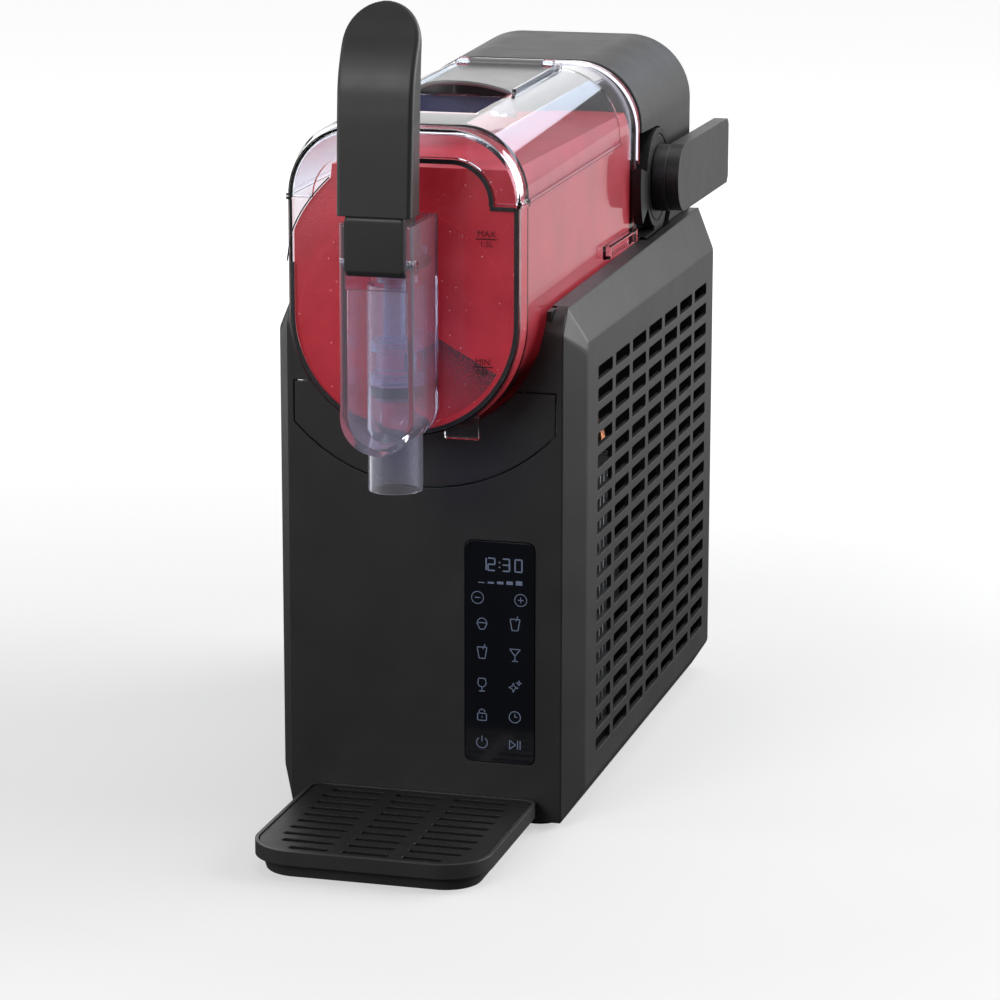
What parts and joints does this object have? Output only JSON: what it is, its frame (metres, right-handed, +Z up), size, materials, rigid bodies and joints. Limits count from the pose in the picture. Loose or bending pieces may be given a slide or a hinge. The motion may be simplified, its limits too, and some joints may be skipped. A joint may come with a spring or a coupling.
{
  "type": "slush machine",
  "caption": "Narrow counter-top slush machine: clear bowl with auger and cold drum, tap with a tall pull handle, filling flap, lock lever, touch panel, grilled sides and drip tray.",
  "frame": {"origin": "bottom centre of the bounding box", "axes": "+Z up; the tap and the drip tray face -Y; the lock lever is on the +X side"},
  "size_m": [0.165, 0.4724, 0.432],
  "materials": {
    "charcoal_plastic": "fine satin texture",
    "black_plastic": "satin",
    "rubber": "matt",
    "black_glass": "polished",
    "board": "satin",
    "steel": "brushed",
    "copper": "drawn tube",
    "white_plastic": "satin",
    "cast_aluminium": "cast",
    "black_paint": "gloss paint",
    "clear_plastic": "polished",
    "smoke_clear": "polished",
    "tinted_clear": "polished",
    "slush": "wet ice"
  },
  "bodies": {
    "housing": {"base_pan": "black_plastic", "foot_front_left": "rubber", "foot_front_right": "rubber", "foot_rear_left": "rubber", "foot_rear_right": "rubber", "front_fascia": "charcoal_plastic", "side_panel_left": "charcoal_plastic", "side_panel_right": "charcoal_plastic", "rear_cover": "charcoal_plastic", "cradle_deck": "charcoal_plastic", "motor_hood": "charcoal_plastic", "bulkhead": "black_plastic", "power_inlet": "black_plastic", "control_glass": "black_glass", "control_board": "board", "evaporator_drum": "steel", "evaporator_coil": "copper", "nose_bushing": "white_plastic", "shaft_seal": "rubber", "gearbox_case": "cast_aluminium", "gearbox_cover": "cast_aluminium", "shaft_bearing": "steel", "gear_motor": "steel", "bowl_gasket": "rubber", "lock_pivot": "steel", "compressor": "black_paint", "compressor_bracket": "steel", "condenser": "cast_aluminium", "fan_shroud": "black_plastic", "fan_motor": "steel", "filter_drier": "copper", "discharge_pipe": "copper", "suction_pipe": "copper", "liquid_pipe": "copper", "main_board": "board"},
    "auger_drive": {"auger": "black_plastic", "auger_nut": "black_plastic", "drive_shaft": "steel", "drive_gear": "white_plastic"},
    "pinion": {"motor_pinion": "copper"},
    "fan": {"fan_blades": "black_plastic"},
    "bowl": {"bowl_tub": "clear_plastic", "slush_fill": "slush", "tap_column": "clear_plastic", "handle_pin": "steel"},
    "lid": {"bowl_lid": "clear_plastic", "flap_hinge_pin": "steel"},
    "flap": {"fill_flap": "smoke_clear"},
    "handle": {"tap_handle": "charcoal_plastic"},
    "plunger": {"tap_plunger": "tinted_clear", "plunger_seal": "rubber"},
    "lock": {"lock_cam": "black_plastic", "lock_lever": "charcoal_plastic"},
    "tray": {"drip_tray": "charcoal_plastic"},
    "grille": {"drip_grille": "black_plastic"},
    "condensation": {"condensation_tray": "charcoal_plastic"}
  },
  "joints": [
    {"name": "bowl_slide", "type": "slide", "parent": "housing", "child": "bowl", "axis": [0, -1, 0], "range_m": [0, 0.25]},
    {"name": "lid_lift", "type": "slide", "parent": "bowl", "child": "lid", "axis": [0, 0, 1], "range_m": [0, 0.12]},
    {"name": "flap_hinge", "type": "hinge", "parent": "lid", "child": "flap", "pos_m": [0, 0.03925, 0.3776], "axis": [-1, 0, 0], "range_deg": [0, 95]},
    {"name": "handle_pull", "type": "hinge", "parent": "bowl", "child": "handle", "pos_m": [0, -0.19615, 0.3061], "axis": [1, 0, 0], "range_deg": [0, 35], "stiffness_Nm_per_rad": 0.5, "springref_deg": -28.65},
    {"name": "plunger_lift", "type": "slide", "parent": "bowl", "child": "plunger", "axis": [0, 0, 1], "range_m": [0, 0.018]},
    {"name": "auger_spin", "type": "hinge", "parent": "housing", "child": "auger_drive", "pos_m": [0, -0.02175, 0.272], "axis": [0, 1, 0], "continuous": true},
    {"name": "pinion_spin", "type": "hinge", "parent": "housing", "child": "pinion", "pos_m": [0, 0.12125, 0.312], "axis": [0, 1, 0], "continuous": true},
    {"name": "fan_spin", "type": "hinge", "parent": "housing", "child": "fan", "pos_m": [0.038, -0.03375, 0.097], "axis": [1, 0, 0], "continuous": true},
    {"name": "lock_turn", "type": "hinge", "parent": "housing", "child": "lock", "pos_m": [0.07, 0.11625, 0.3075], "axis": [1, 0, 0], "range_deg": [0, 90]},
    {"name": "tray_slide", "type": "slide", "parent": "housing", "child": "tray", "axis": [0, -1, 0], "range_m": [0, 0.12]},
    {"name": "grille_lift", "type": "slide", "parent": "tray", "child": "grille", "axis": [0, 0, 1], "range_m": [0, 0.05]},
    {"name": "condensation_slide", "type": "slide", "parent": "housing", "child": "condensation", "axis": [0, -1, 0], "range_m": [0, 0.026]}
  ],
  "couplings": [
    {"joint": "pinion_spin", "follows": "auger_spin", "ratio": -4},
    {"joint": "plunger_lift", "follows": "handle_pull", "m_per_rad": 0.029}
  ]
}
